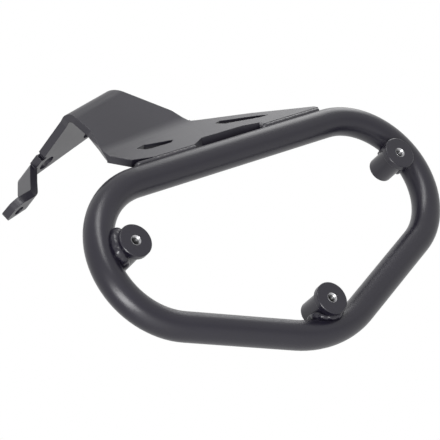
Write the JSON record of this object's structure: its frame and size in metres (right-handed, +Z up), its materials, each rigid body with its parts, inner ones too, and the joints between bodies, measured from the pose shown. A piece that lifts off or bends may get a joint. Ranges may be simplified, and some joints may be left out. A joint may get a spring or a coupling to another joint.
{
  "type": "motorbike pannier frame",
  "caption": "Closed tubular hoop with flanged threaded bosses and a folded bracket plate welded along its top tube, which holds a side pannier beside a motorbike's tail.",
  "frame": {"origin": "start of the lower boss's thread, on its axis, just inside the chamfer of its mouth", "axes": "+X along the top tube, +Y inboard to the motorbike, +Z up; the bosses' threads open towards -Y"},
  "size_m": [0.265, 0.0933, 0.2008],
  "materials": {
    "powder_coat": "satin charcoal powder coat"
  },
  "bodies": {
    "root": {"hoop_tube": "powder_coat", "bracket_plate": "powder_coat", "boss_left": "powder_coat", "boss_right": "powder_coat", "boss_lower": "powder_coat", "boss_bead_left": "powder_coat", "boss_bead_right": "powder_coat", "boss_bead_lower": "powder_coat", "plate_bead_front": "powder_coat", "plate_bead_rear": "powder_coat"}
  },
  "joints": []
}
